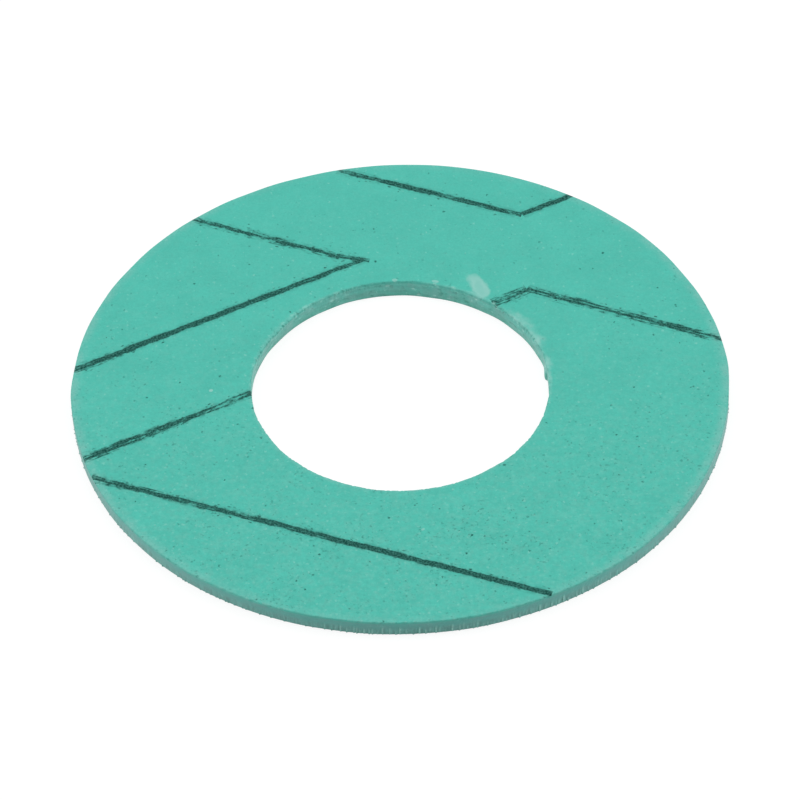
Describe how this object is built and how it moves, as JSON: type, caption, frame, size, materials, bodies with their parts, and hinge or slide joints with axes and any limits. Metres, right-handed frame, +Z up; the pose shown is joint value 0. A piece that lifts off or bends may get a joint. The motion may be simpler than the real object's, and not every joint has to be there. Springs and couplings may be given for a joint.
{
  "type": "flange gasket",
  "caption": "Flat ring gasket cut from green compressed-fibre sheet, with a round bore, to seal the joint between two pipe flange faces.",
  "frame": {"origin": "centre of the bore on the lower sealing face, where the ring lies on a surface", "axes": "+Z up along the bore axis, out of the printed upper face; +X and +Y lie in the lower face"},
  "size_m": [0.0732, 0.0732, 0.002],
  "materials": {
    "fibre_sheet": "matte"
  },
  "bodies": {
    "root": {"gasket_ring": "fibre_sheet"}
  },
  "joints": []
}
